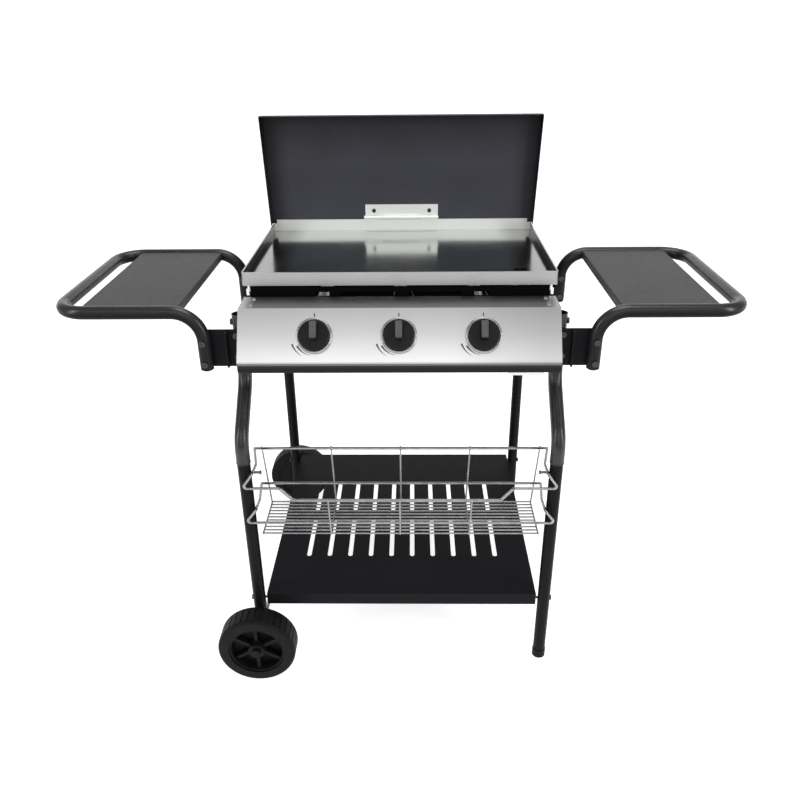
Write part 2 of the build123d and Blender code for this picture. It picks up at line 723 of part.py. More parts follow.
def basket_rear():
    """Rear of the basket: top rail, middle rail and the risers up from the floor."""
    y, x = BASKET_REAR, BASKET_REAR_X
    part = rod((-x, y, BASKET_REAR_TOP), (x, y, BASKET_REAR_TOP), RAIL_R)
    part += rod((-x + 7, y, BASKET_REAR_MID), (x - 7, y, BASKET_REAR_MID), RAIL_R)
    for k in range(-2, 3):
        low = k * BASKET_FLOOR_X / 2
        part += rod((low, y, BASKET_FLOOR), (k * 141.0, y, BASKET_REAR_TOP + 5), WIRE_R)
    return part


def basket_floor():
    """Flat floor of close long wires over the five cross wires."""
    part = None
    for k in range(-2, 3):
        x = k * BASKET_FLOOR_X / 2
        cross = rod((x, BASKET_FRONT, BASKET_FLOOR), (x, BASKET_REAR, BASKET_FLOOR), WIRE_R)
        part = cross if part is None else part + cross
    count = 11
    for j in range(count):
        y = BASKET_FRONT + j * (BASKET_REAR - BASKET_FRONT) / (count - 1)
        z = BASKET_FLOOR + WIRE_R * 1.2
        part += rod((-BASKET_FLOOR_X, y, z), (BASKET_FLOOR_X, y, z), WIRE_R)
    return part


def basket_end(side):
    """End of the basket: two wires that climb in front of the leg, then go back inside it."""
    front, rear = BASKET_FRONT, BASKET_REAR
    x, leg_x = side * BASKET_X, side * BASKET_LEG_X
    start_x = side * (BASKET_X - BASKET_CORNER - 0.5)
    wires = None
    for z, leg_z, rear_x, rear_z in (
            (BASKET_TOP, BASKET_REAR_TOP + 6, side * BASKET_REAR_X, BASKET_REAR_TOP),
            (BASKET_MID_Z, BASKET_REAR_MID + 8, side * (BASKET_REAR_X - 7), BASKET_REAR_MID)):
        points = [
            (start_x, front, z),
            (x, front, z),
            (leg_x, front, leg_z),
            (leg_x, rear - 66, leg_z - 3),
            (rear_x, rear, rear_z),
        ]
        bent = wire(points, RAIL_R, 5.0)
        wires = bent if wires is None else wires + bent
    return wires


# ---- grease tray ----

def grease_tray():
    """Open tray that slides out at the front, under the drain."""
    x0, x1 = TRAY_X - TRAY_W / 2, TRAY_X + TRAY_W / 2
    tray = box(x0, x1, TRAY_FRONT, TRAY_REAR, TRAY_LOW, TRAY_TOP)
    tray += box(x0 - TRAY_LEDGE, x1 + TRAY_LEDGE, TRAY_FRONT + 20, TRAY_REAR, TRAY_TOP - SHEET, TRAY_TOP)
    return tray - box(x0 + SHEET, x1 - SHEET, TRAY_FRONT + SHEET, TRAY_REAR - SHEET,
                      TRAY_LOW + SHEET, TRAY_TOP + 9)


def tray_rail(side):
    """Folded rail under the box floor that carries one edge of the grease tray."""
    inner = TRAY_X + side * (TRAY_W / 2 + 2.5)
    outer = TRAY_X + side * (TRAY_W / 2 + 9)
    wall = TRAY_X + side * (TRAY_W / 2 + 7)
    x0, x1 = sorted((inner, outer))
    w0, w1 = sorted((wall, outer))
    y0, y1 = TRAY_FRONT + 16, TRAY_REAR + 4
    rail = box(x0, x1, y0, y1, TRAY_TOP - SHEET - 2.3, TRAY_TOP - SHEET - 0.3)
    return rail + box(w0, w1, y0, y1, TRAY_TOP - SHEET - 2.3, BOX_FLOOR)


def grease_chute():
    """Tube on the box floor that leads grease from the spout down to the tray."""
    x, y = DRAIN
    tube_part = Pos(x, y, 719) * Cylinder(14.9, 110)
    funnel = Pos(x, y, 768) * Cone(14.9, 22, 14)
    part = tube_part + funnel
    part -= Pos(x, y, 719) * Cylinder(13.4, 130)
    return part - Pos(x, y, 769) * Cone(13.4, 21, 14.1)


def save(name, shape):
    """Write one node; a list of shapes becomes a group of separate solids."""
    if isinstance(shape, list):
        solids = [s for item in shape for s in item.solids()]
        shape = Compound(children=solids)
    shape.label = name
    export_step(shape, os.path.join("parts", name + ".step"))


def build_cart():
    """Legs, wheels' axle, shelves and feet: everything that stands on the floor."""
    ends = {"front": -1, "rear": 1}
    sides = {"left": -1, "right": 1}
    lower_legs = {"left": [], "right": []}
    for end_name, end in ends.items():
        for side_name, side in sides.items():
            lower_legs[side_name].append(lower_leg(side, end))
        save(f"{end_name}_upper_legs", [upper_leg(-1, end), upper_leg(1, end)])
    for side_name, legs in lower_legs.items():
        save(f"{side_name}_lower_legs", legs)
    save("foot_caps", foot_caps())
    save("axle", axle())
    save("axle_caps", axle_caps())
    save("axle_spacers", axle_spacers())
    save("bottom_shelf", bottom_shelf())
    save("bottom_shelf_bolts", bottom_shelf_bolts())
    save("leg_bolts", leg_bolts())
    for end_name, end in ends.items():
        save(f"{end_name}_tyre", wheel_tyre(end))
        save(f"{end_name}_wheel_hub", wheel_hub(end))


def build_box():
    """Burner box, control panel and gas parts."""
    save("box_floor", box_floor())
    save("box_left_side", box_side(-1))
    save("box_right_side", box_side(1))
    save("box_rear", box_rear())
    save("heat_shield", heat_shield())
    save("control_panel", control_panel())
    save("panel_lower_trim", panel_lower_trim())
    save("panel_screws", panel_screws())
    save("manifold", manifold())
    save("gas_inlet", gas_inlet())
    save("burners", [burner(k) for k in (-1, 0, 1)])
    save("burner_bars", [burner_bar(-24.0), burner_bar(190.0)])
    save("electrodes", electrodes())
    save("valves", [valve(k) + burner_jet(k) for k in (-1, 0, 1)])
    save("bezels", [bezel(k) for k in (-1, 0, 1)])
    for k, name in ((-1, "left"), (0, "middle"), (1, "right")):
        save(f"{name}_knob_collar", knob_collar(k))
        save(f"{name}_knob", knob(k))
    save("grease_tray", grease_tray())
    save("grease_tray_rails", [tray_rail(-1), tray_rail(1)])
    save("grease_chute", grease_chute())


def build_griddle():
    """Griddle plate with its hood lid."""
    save("griddle_plate", griddle_plate())
    save("griddle_feet", griddle_feet())
    save("hinge_fixed_leaf", hinge_fixed_leaf())
    save("hinge_pin", hinge_pin())
    save("hinge_moving_leaf", hinge_moving_leaf())
    save("lid_shell", lid_shell())
    save("lid_screws", lid_screws())


def build_tables():
    """Two fold-down side shelves and the brackets they hang on."""
    for name, side in (("left", -1), ("right", 1)):
        save(f"{name}_table_frame", table_frame(side))
        save(f"{name}_table_plate", table_plate(side))
        save(f"{name}_lock_screws", lock_knobs(side))
    save("table_brackets", [table_bracket(side, end) for side in (-1, 1) for end in (-1, 1)])
    save("bracket_screws", bracket_screws(-1) + bracket_screws(1))
    save("pivot_bolts", pivot_bolts(-1) + pivot_bolts(1))


def build_basket():
    """Wire basket across the front legs."""
    save("basket_front", basket_front())
    save("basket_rear", basket_rear())
    save("basket_floor", basket_floor())
    save("basket_left_end", basket_end(-1))
    save("basket_right_end", basket_end(1))


os.makedirs("parts", exist_ok=True)
build_cart()
build_box()
build_griddle()
build_tables()
build_basket()
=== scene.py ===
import bmesh
import bpy
import json
import math
from mathutils import Matrix, Vector


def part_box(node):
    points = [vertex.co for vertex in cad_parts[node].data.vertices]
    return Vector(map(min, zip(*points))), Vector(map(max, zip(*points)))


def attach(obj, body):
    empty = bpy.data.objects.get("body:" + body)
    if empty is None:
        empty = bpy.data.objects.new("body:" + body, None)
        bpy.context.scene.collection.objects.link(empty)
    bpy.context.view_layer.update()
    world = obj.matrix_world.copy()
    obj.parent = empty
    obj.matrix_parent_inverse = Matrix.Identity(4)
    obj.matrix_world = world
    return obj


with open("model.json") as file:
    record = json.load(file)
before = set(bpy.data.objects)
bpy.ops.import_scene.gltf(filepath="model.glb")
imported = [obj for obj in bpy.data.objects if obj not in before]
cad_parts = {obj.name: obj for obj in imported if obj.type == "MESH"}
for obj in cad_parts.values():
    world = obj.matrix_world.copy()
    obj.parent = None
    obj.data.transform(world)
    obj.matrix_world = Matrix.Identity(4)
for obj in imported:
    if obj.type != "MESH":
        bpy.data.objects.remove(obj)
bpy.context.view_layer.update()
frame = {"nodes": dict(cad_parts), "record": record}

# ---- camera, matched to the photograph's viewing angle ----
CAMERA_AT = Vector((0.0257, -1.5255, 1.2478))
CAMERA_PITCH = math.radians(27.0)
CAMERA_YAW = math.radians(1.1)
CAMERA_ROLL = math.radians(-0.6)
CAMERA_LENS = 34.25
CAMERA_SHIFT_Y = 0.0055
FLOOR_GLOW = 0.8

# ---- panel layout, read from the knobs' places ----
PANEL_TILT = math.atan2(55.0, 88.0)
PANEL_NORMAL = Vector((0, -math.cos(PANEL_TILT), math.sin(PANEL_TILT)))
PANEL_UP = Vector((0, math.sin(PANEL_TILT), math.cos(PANEL_TILT)))
PANEL_RIGHT = Vector((1, 0, 0))
KNOB_NAMES = ("left", "middle", "right")

# ---- tube and peg sizes, in metres ----
TABLE_TUBE_R = 0.0125
LEG_TUBE_R = 0.0135
PEG_X = 0.2855
PEG_Y = -0.282
PEG_DROP = 0.0060
BASKET_RAIL_R = 0.0028


# ---------------------------------------------------------------- node helpers

class Shader:
    """Small helper that builds one material's node tree."""

    def __init__(self, name):
        self.material = bpy.data.materials.new(name)
        self.material.use_nodes = True
        self.tree = self.material.node_tree
        self.surface = self.tree.nodes["Principled BSDF"]
        self.position = self.tree.nodes.new("ShaderNodeTexCoord").outputs["Object"]

    def node(self, kind, **sockets):
        """Add a node; each value goes to the input of that name, linked if it is an output."""
        made = self.tree.nodes.new(kind)
        for name, value in sockets.items():
            self.join(made.inputs[name.replace("_", " ")], value)
        return made

    def join(self, socket, value):
        """Link an output to a socket, or set the socket to a number or colour."""
        if isinstance(value, bpy.types.NodeSocket):
            self.tree.links.new(value, socket)
        else:
            socket.default_value = value

    def scaled(self, scale):
        """Object coordinates stretched by a factor along each axis."""
        mapping = self.node("ShaderNodeMapping", Vector=self.position)
        mapping.inputs["Scale"].default_value = scale
        return mapping.outputs["Vector"]

    def noise(self, scale, detail=4.0, rough=0.55, stretch=(1, 1, 1)):
        """Noise factor at a scale in cells per metre."""
        made = self.node("ShaderNodeTexNoise", Vector=self.scaled(stretch), Scale=scale,
                         Detail=detail, Roughness=rough)
        return made.outputs["Fac"]

    def ramp(self, factor, stops):
        """Colour ramp over (position, grey or colour) stops."""
        made = self.node("ShaderNodeValToRGB", Fac=factor)
        elements = made.color_ramp.elements
        while len(elements) < len(stops):
            elements.new(0.5)
        for element, (place, colour) in zip(elements, stops):
            element.position = place
            if isinstance(colour, (int, float)):
                colour = (colour, colour, colour)
            element.color = (*colour, 1)
        return made.outputs["Color"]

    def math(self, operation, a, b=0.0, clamp=False):
        """Math node on two values."""
        made = self.tree.nodes.new("ShaderNodeMath")
        made.operation = operation
        made.use_clamp = clamp
        self.join(made.inputs[0], a)
        self.join(made.inputs[1], b)
        return made.outputs[0]

    def span(self, value, low, high, to_low, to_high):
        """Map a value's range to another range, clamped."""
        made = self.node("ShaderNodeMapRange", Value=value)
        for name, number in (("From Min", low), ("From Max", high),
                             ("To Min", to_low), ("To Max", to_high)):
            made.inputs[name].default_value = number
        return made.outputs["Result"]

    def mix(self, factor, a, b):
        """Mix two colours."""
        made = self.tree.nodes.new("ShaderNodeMix")
        made.data_type = "RGBA"
        self.join(made.inputs[0], factor)
        self.join(made.inputs[6], a)
        self.join(made.inputs[7], b)
        return made.outputs[2]

    def axis(self, name):
        """One coordinate of the object position, in metres."""
        split = self.node("ShaderNodeSeparateXYZ", Vector=self.position)
        return split.outputs[name]

    def bump(self, height, strength, distance=0.0002, normal=None):
        """Bump from a height factor."""
        made = self.node("ShaderNodeBump", Height=height, Strength=strength, Distance=distance)
        if normal is not None:
            self.join(made.inputs["Normal"], normal)
        return made.outputs["Normal"]

    def set(self, **sockets):
        """Set or link the surface shader's inputs."""
        for name, value in sockets.items():
            self.join(self.surface.inputs[name.replace("_", " ")], value)


def rgb(r, g, b):
    """Linear colour with alpha."""
    return (r, g, b, 1.0)


# ---------------------------------------------------------------- materials

def powder_coat(name, colour, gloss, grain=1500.0, sheen=0.2):
    """Powder coat: faint cloudiness, orange peel and small rubbed places."""
    s = Shader(name)
    s.set(Base_Color=coat_tint(s, colour))
    coat_surface(s, gloss, grain, sheen)
    return s.material


def tube_coat(name, colour, crown, under):
    """Gloss black coat on bent tube, with its gloss turned down toward the underside.

    The glowing floor lights the underside too strongly. The export keeps only the even gloss.
    """
    s = Shader(name)
    s.set(Base_Color=coat_tint(s, colour))
    coat_surface(s, 0.25, 1500.0, crown)
    normal = s.tree.nodes.new("ShaderNodeNewGeometry").outputs["Normal"]
    tilt = s.node("ShaderNodeSeparateXYZ", Vector=normal).outputs["Z"]
    s.set(Specular_IOR_Level=s.span(tilt, -0.1, 0.8, under, crown))
    return s.material


def coat_tint(s, colour):
    """Coat colour with faint clouds and slightly paler rubbed specks."""
    cloud = s.noise(9.0, 3.0)
    dust = s.noise(70.0, 6.0, 0.7)
    tint = s.ramp(cloud, [(0.3, [c * 0.92 for c in colour]), (0.7, [c * 1.08 for c in colour])])
    worn = s.math("MULTIPLY", s.span(dust, 0.62, 0.8, 0.0, 1.0), 0.25)
    return s.mix(worn, tint, rgb(*[c * 1.6 + 0.004 for c in colour]))


def coat_surface(s, gloss, grain, sheen):
    """Gloss and orange peel of a powder coat."""
    dust = s.noise(90.0, 5.0, 0.7)
    s.set(Roughness=s.span(dust, 0.3, 0.8, gloss, gloss + 0.12), Specular_IOR_Level=sheen)
    fine = s.bump(s.noise(grain, 2.0), 0.25, 0.00005)
    s.set(Normal=s.bump(s.noise(240.0, 2.0), 0.06, 0.0001, fine))


def lid_coat():
    """Grey powder coat of the lid. Its tint darkens toward the top and sides, as the photograph is lit."""
    s = Shader("lid_coat")
    low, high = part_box("lid_shell")
    height = s.axis("Z")
    across = s.math("ABSOLUTE", s.axis("X"))
    top = s.span(height, high[2] - 0.10, high[2], 1.0, 0.34)
    side = s.span(across, high[0] - 0.06, high[0] - 0.004, 1.0, 0.30)
    # Painted light as well: the tint pales over the lowest 10 cm toward the lid's foot.
    foot = s.span(height, low[2], low[2] + 0.10, 1.0, 0.72)
    shade = s.math("MULTIPLY", s.math("MULTIPLY", top, side), foot)
    s.set(Base_Color=s.mix(shade, rgb(0.0, 0.0, 0.0), coat_tint(s, (0.054, 0.055, 0.066))))
    coat_surface(s, 0.45, 1100.0, 0.12)
    return s.material


def brushed(name, colour, rough, stretch, strength=0.25, contrast=0.06):
    """Brushed stainless sheet: fine streaks along one axis, broad faint smears."""
    s = Shader(name)
    streak = s.noise(900.0, 3.0, 0.6, stretch)
    broad = s.noise(5.0, 3.0)
    dark = [c * (1 - contrast) for c in colour]
    light = [min(1.0, c * (1 + contrast)) for c in colour]
    tint = s.ramp(streak, [(0.25, dark), (0.75, light)])
    smear = s.span(broad, 0.3, 0.7, 0.06, 0.0)
    s.set(Base_Color=s.mix(smear, tint, rgb(0.3, 0.3, 0.3)), Metallic=1.0)
    base = s.span(streak, 0.2, 0.8, rough, rough + 0.1)
    s.set(Roughness=s.math("ADD", base, s.span(broad, 0.45, 0.75, 0.0, 0.06)))
    s.set(Normal=s.bump(streak, strength, 0.00003))
    return s.material


def panel_steel():
    """Satin steel of the control panel, with painted shade where the edge rolls under.

    The tint also stands in for light: paler toward the bottom, darker at the right end.
    """
    s = Shader("panel_steel")
    low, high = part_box("control_panel")
    streak = s.noise(900.0, 3.0, 0.6, (0.015, 1, 1))
    broad = s.noise(4.0, 3.0)
    height = s.axis("Z")
    rise = s.span(height, low[2] + 0.008, high[2] - 0.004, 1.0, 0.0)
    sheet = s.ramp(rise, [(0.0, (0.41, 0.415, 0.405)), (0.45, (0.50, 0.505, 0.495)),
                          (1.0, (0.70, 0.70, 0.69))])
    # painted shade: the tint darkens over the bottom 4.5 mm, where the edge rolls under
    edge = s.span(height, low[2], low[2] + 0.0045, 0.70, 0.0)
    grain = s.span(streak, 0.25, 0.75, 0.035, 0.0)
    sheet = s.mix(s.span(s.axis("X"), 0.10, 0.27, 0.0, 0.32), sheet, rgb(0.1, 0.1, 0.1))
    tint = s.mix(edge, s.mix(grain, sheet, rgb(0.2, 0.2, 0.2)), rgb(0.05, 0.05, 0.05))
    s.set(Base_Color=tint, Metallic=1.0)
    s.set(Roughness=s.math("ADD", s.span(streak, 0.2, 0.8, 0.27, 0.33),
                           s.span(broad, 0.4, 0.7, 0.0, 0.07)))
    s.set(Normal=s.bump(streak, 0.06, 0.00003))
    return s.material


def trim_coat():
    """Black trim under the panel, with a painted highlight along its top edge."""
    s = Shader("trim_coat")
    low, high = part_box("panel_lower_trim")
    rise = s.span(s.axis("Z"), low[2], high[2], 0.0, 1.0)
    # painted highlight: the black pales toward the trim's top edge
    highlight_fade = s.ramp(rise, [(0.45, (0.006, 0.006, 0.007)), (0.80, (0.020, 0.020, 0.022)),
                         (0.94, (0.16, 0.16, 0.165))])
    speck = s.span(s.noise(70.0, 6.0, 0.7), 0.6, 0.8, 0.0, 0.3)
    s.set(Base_Color=s.mix(speck, highlight_fade, rgb(0.02, 0.02, 0.02)))
    coat_surface(s, 0.4, 1300.0, 0.15)
    return s.material


def griddle_steel():
    """Griddle: mirror plate, brushed walls, brighter guard.

    The plate's two ends are tinted darker only to hold their reflections back.
    """
    s = Shader("griddle_steel")
    streak = s.noise(900.0, 3.0, 0.6, (0.02, 1, 1))
    broad = s.noise(6.0, 4.0)
    low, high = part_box("griddle_plate")
    z = s.axis("Z")
    y = s.axis("Y")
    inside = s.span(y, low[1] + 0.0026, low[1] + 0.0031, 0.0, 1.0)
    floor = s.math("MULTIPLY", inside, s.span(z, 0.8022, 0.8028, 1.0, 0.0))
    guard = s.math("MULTIPLY", s.span(y, high[1] - 0.0045, high[1] - 0.0035, 0.0, 1.0),
                   s.span(z, 0.8021, 0.8026, 0.0, 1.0))
    wall = s.ramp(streak, [(0.2, (0.32, 0.32, 0.315)), (0.8, (0.38, 0.38, 0.375))])
    plate = s.ramp(broad, [(0.3, (0.46, 0.475, 0.46)), (0.7, (0.52, 0.535, 0.52))])
    across = s.math("ABSOLUTE", s.axis("X"))
    ends = s.span(across, high[0] - 0.085, high[0] - 0.045, 0.0, 0.60)
    plate = s.mix(ends, plate, rgb(0.02, 0.02, 0.02))
    tint = s.mix(floor, wall, plate)
    s.set(Base_Color=s.mix(guard, tint, rgb(0.93, 0.94, 0.91)), Metallic=1.0)
    satin = s.span(streak, 0.2, 0.8, 0.24, 0.34)
    rough = s.mix(guard, satin, s.span(streak, 0.2, 0.8, 0.42, 0.50))
    s.set(Roughness=s.mix(floor, rough, s.span(broad, 0.35, 0.7, 0.13, 0.19)))
    s.set(Normal=s.bump(streak, 0.06, 0.00003))
    return s.material


def chrome_wire():
    """Bright plated wire with slight dulling."""
    s = Shader("chrome_wire")
    dull = s.noise(60.0, 4.0)
    s.set(Base_Color=s.ramp(dull, [(0.3, (0.22, 0.22, 0.225)), (0.7, (0.34, 0.34, 0.345))]))
    s.set(Metallic=1.0, Roughness=s.span(dull, 0.3, 0.75, 0.12, 0.3))
    s.set(Normal=s.bump(s.noise(900.0, 2.0), 0.1, 0.00005))
    return s.material


def plated(name, colour, rough):
    """Turned or plated small part."""
    s = Shader(name)
    dull = s.noise(220.0, 4.0)
    s.set(Base_Color=s.ramp(dull, [(0.3, [c * 0.8 for c in colour]), (0.7, colour)]))
    s.set(Metallic=1.0, Roughness=s.span(dull, 0.3, 0.8, rough, rough + 0.18))
    s.set(Normal=s.bump(s.noise(1500.0, 2.0), 0.15, 0.00005))
    return s.material


def moulded(name, colour, rough, grain, sheen=0.4):
    """Moulded plastic with a fine spark-eroded grain and faint scuffs."""
    s = Shader(name)
    scuff = s.noise(45.0, 5.0, 0.7)
    tint = s.ramp(scuff, [(0.35, colour), (0.8, [c * 1.7 + 0.004 for c in colour])])
    s.set(Base_Color=tint, Roughness=s.span(scuff, 0.3, 0.8, rough, rough + 0.15))
    s.set(Specular_IOR_Level=sheen)
    s.set(Normal=s.bump(s.noise(grain, 2.0), 0.3, 0.0001))
    return s.material


def printed(name, colour):
    """Screen-printed mark, slightly uneven."""
    s = Shader(name)
    s.set(Base_Color=s.ramp(s.noise(900.0, 3.0), [(0.3, [c * 0.8 for c in colour]), (0.7, colour)]))
    s.set(Roughness=0.45)
    return s.material


def assign(node, material):
    """Put one material on a CAD node's every slot."""
    mesh = frame["nodes"][node].data
    if not mesh.materials:
        mesh.materials.append(material)
    for index in range(len(mesh.materials)):
        mesh.materials[index] = material


def assign_all(nodes, material):
    """Put one material on several CAD nodes."""
    for node in nodes:
        assign(node, material)


def dress_nodes():
    """Give every CAD node its material, by record slot, with some nodes of their own kind."""
    by_slot = {
        "black_tube": tube_coat("tube_coat", (0.009, 0.009, 0.010), 0.65, 0.04),
        "black_sheet": powder_coat("sheet_coat", (0.008, 0.008, 0.010), 0.42, 1300.0, 0.06),
        "stainless": brushed("stainless_sheet", (0.60, 0.61, 0.59), 0.26, (0.02, 1, 1)),
        "zinc": plated("zinc_plate", (0.60, 0.60, 0.58), 0.25),
        "chrome": chrome_wire(),
        "black_plastic": moulded("black_moulding", (0.003, 0.003, 0.003), 0.45, 1400.0, 0.1),
        "brass": plated("brass_part", (0.72, 0.5, 0.2), 0.28),
    }
    for entry in frame["record"]["subparts"]:
        if entry["node"] in frame["nodes"]:
            assign(entry["node"], by_slot[entry["material_slot"]])
    own = {
        "griddle_plate": griddle_steel(),
        "lid_shell": lid_coat(),
        "control_panel": panel_steel(),
        "panel_lower_trim": trim_coat(),
    }
    for node, material in own.items():
        assign(node, material)
    table = powder_coat("table_coat", (0.038, 0.038, 0.040), 0.45, 1000.0, 0.25)
    assign_all(("left_table_plate", "right_table_plate"), table)
    # Painted light: the legs' one coat comes in two copies, the lower legs darker and far less glossy to
    # stand in for shade.
    assign_all(("front_upper_legs", "rear_upper_legs"),
               powder_coat("upper_leg_coat", (0.011, 0.011, 0.012), 0.25, 1500.0, 0.42))
    assign_all(("left_lower_legs", "right_lower_legs"),
               powder_coat("lower_leg_coat", (0.007, 0.007, 0.008), 0.30, 1500.0, 0.06))
    # Painted shade: the burner box's inside is darker and duller than the black sheet, for the shade of
    # the recess under the griddle.
    recess_shade_coat = powder_coat("burner_box_coat", (0.003, 0.003, 0.003), 0.6, 900.0, 0.03)
    assign_all(("heat_shield", "box_floor", "box_left_side", "box_right_side"), recess_shade_coat)
    knob = moulded("knob_moulding", (0.004, 0.004, 0.004), 0.38, 2600.0, 0.16)
    assign_all([f"{name}_knob" for name in KNOB_NAMES], knob)
    assign("griddle_feet", plated("bright_stud", (0.80, 0.80, 0.80), 0.08))
    assign("bezels", plated("bezel_chrome", (0.36, 0.36, 0.35), 0.18))
    dark = plated("blackened_bolt", (0.07, 0.07, 0.075), 0.32)
    assign_all(("leg_bolts", "bracket_screws", "pivot_bolts", "bottom_shelf_bolts", "lid_screws",
                "left_lock_screws", "right_lock_screws"), dark)
    leaf = brushed("hinge_steel", (0.93, 0.94, 0.91), 0.40, (0.03, 1, 1), 0.05, 0.02)
    assign_all(("hinge_fixed_leaf", "hinge_moving_leaf", "hinge_pin"), leaf)


# ---------------------------------------------------------------- added pieces

def make_piece(name, verts, faces, material, body, slot, smooth=False):
    """Mesh object from vertices and faces, riding on a body."""
    mesh = bpy.data.meshes.new(name)
    mesh.from_pydata([tuple(v) for v in verts], [], faces)
    mesh.materials.append(material)
    mesh.polygons.foreach_set("use_smooth", [smooth] * len(mesh.polygons))
    piece = bpy.data.objects.new(name, mesh)
    bpy.context.collection.objects.link(piece)
    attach(piece, body)
    return piece


def prism(outline, plane_origin, right, up, normal, low, high):
    """Closed prism over an outline in a plane, between two heights along its normal."""
    count = len(outline)
    verts = []
    for height in (low, high):
        verts += [plane_origin + right * u + up * v + normal * height for u, v in outline]
    faces = [tuple(range(count - 1, -1, -1)), tuple(range(count, 2 * count))]
    faces += [(i, (i + 1) % count, count + (i + 1) % count, count + i) for i in range(count)]
    return verts, faces


def bar_outline(length, width, steps=8):
    """Rounded bar outline, standing along v, about the origin."""
    r = width / 2
    points = []
    for top in (1, -1):
        for k in range(steps + 1):
            angle = math.pi * k / steps + (0 if top > 0 else math.pi)
            points.append((r * math.cos(angle), top * (length / 2 - r) + r * math.sin(angle)))
    return points


def block_outline(length, width, r, steps=4):
    """Rectangle with rounded corners, standing along v, about the origin."""
    points = []
    for k in range(4):
        across = width / 2 - r if k in (0, 3) else r - width / 2
        along = length / 2 - r if k < 2 else r - length / 2
        for step in range(steps + 1):
            angle = math.pi / 2 * (k + step / steps)
            points.append((across + r * math.cos(angle), along + r * math.sin(angle)))
    return points


def crescent_outline(radius, start, end, thick, steps=18):
    """Tapered arc outline: full width at its start, a point at its end. Angles in degrees."""
    outer, inner = [], []
    for k in range(steps + 1):
        t = k / steps
        angle = math.radians(start + (end - start) * t)
        half = thick / 2 * (1 - t) + 0.00008
        outer.append(((radius + half) * math.cos(angle), (radius + half) * math.sin(angle)))
        inner.append(((radius - half) * math.cos(angle), (radius - half) * math.sin(angle)))
    return outer + inner[::-1]


def knob_centre(name):
    """Point on the panel face under a knob, from the collar's box."""
    low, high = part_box(f"{name}_knob_collar")
    middle = (Vector(low) + Vector(high)) / 2
    return middle - PANEL_NORMAL * 0.0005


def knob_marks(name, ink):
    """Off tick over a knob and the two tapered flame marks at its lower left."""
    centre = knob_centre(name)
    args = (PANEL_RIGHT, PANEL_UP, PANEL_NORMAL, 0.00002, 0.00022)
    tick = prism(bar_outline(0.007, 0.0022), centre + PANEL_UP * 0.0392, *args)
    make_piece(f"{name}_off_tick", *tick, ink, "cart", "black_plastic")
    for index, (radius, start, end) in enumerate(((0.0364, 210, 262), (0.0434, 200, 240))):
        mark = prism(crescent_outline(radius, start, end, 0.0032), centre, *args)
        make_piece(f"{name}_flame_mark_{index}", *mark, ink, "cart", "black_plastic")


def knob_pointer(name, material):
    """Pale insert let into the crest of a knob's grip bar."""
    centre = knob_centre(name)
    top = max((v - centre).dot(PANEL_NORMAL) for v in knob_vertices(name))
    verts, faces = prism(block_outline(0.0310, 0.0122, 0.0022), centre + PANEL_UP * 0.0080,
                         PANEL_RIGHT, PANEL_UP, PANEL_NORMAL, top - 0.0006, top + 0.0005)
    piece = make_piece(f"{name}_knob_pointer", verts, faces, material, f"{name}_dial", "black_plastic")
    bevel = piece.modifiers.new("edge", "BEVEL")
    bevel.width = 0.0003
    bevel.segments = 2
    return piece


def knob_vertices(name):
    """Vertices of a knob's CAD mesh."""
    return [v.co for v in frame["nodes"][f"{name}_knob"].data.vertices]


def lathe(name, profile, origin, axis, material, body, slot, steps=48):
    """Turned piece: profile points are (radius, height) along the axis from the origin."""
    axis = Vector(axis).normalized()
    side = axis.orthogonal().normalized()
    other = axis.cross(side)
    verts = []
    for k in range(steps):
        angle = 2 * math.pi * k / steps
        spoke = side * math.cos(angle) + other * math.sin(angle)
        verts += [Vector(origin) + spoke * r + axis * h for r, h in profile]
    count = len(profile)
    faces = []
    for k in range(steps):
        here, there = k * count, ((k + 1) % steps) * count
        faces += [(here + i, there + i, there + i + 1, here + i + 1) for i in range(count - 1)]
    piece = make_piece(name, verts, faces, material, body, slot, smooth=True)
    clean = bmesh.new()
    clean.from_mesh(piece.data)
    bmesh.ops.remove_doubles(clean, verts=clean.verts, dist=1e-6)
    bmesh.ops.recalc_face_normals(clean, faces=clean.faces)
    clean.to_mesh(piece.data)
    clean.free()
    piece.data.set_sharp_from_angle(angle=math.radians(40))
    return piece


def tube_plugs(material):
    """Domed plastic plugs in the open lower ends of the two shelf frames."""
    for side in ("left", "right"):
        low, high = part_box(f"{side}_table_frame")
        near_x = high[0] - TABLE_TUBE_R if side == "left" else low[0] + TABLE_TUBE_R
        for end, y in (("front", low[1] + TABLE_TUBE_R), ("rear", high[1] - TABLE_TUBE_R)):
            profile = [(0.0, -0.0035), (0.006, -0.0032), (0.0102, -0.0018), (0.0118, 0.0),
                       (0.0109, 0.0002), (0.0108, 0.008), (0.0, 0.008)]
            lathe(f"{side}_{end}_tube_plug", profile, (near_x, y, low[2]), (0, 0, 1),
                  material, f"{side}_table", "black_plastic", 32)


def leg_collars(material):
    """Rolled lip at the lower end of each upper leg, where the lower leg goes in."""
    for end in ("front", "rear"):
        low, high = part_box(f"{end}_upper_legs")
        y = low[1] + LEG_TUBE_R if end == "front" else high[1] - LEG_TUBE_R
        for side, x in (("left", low[0] + LEG_TUBE_R), ("right", high[0] - LEG_TUBE_R)):
            profile = [(0.0128, -0.0006), (0.0139, -0.0006), (0.0141, 0.0008), (0.0139, 0.0026),
                       (0.0134, 0.0032)]
            lathe(f"{end}_{side}_leg_lip", profile, (x, y, low[2]), (0, 0, 1),
                  material, "cart", "black_tube", 40)


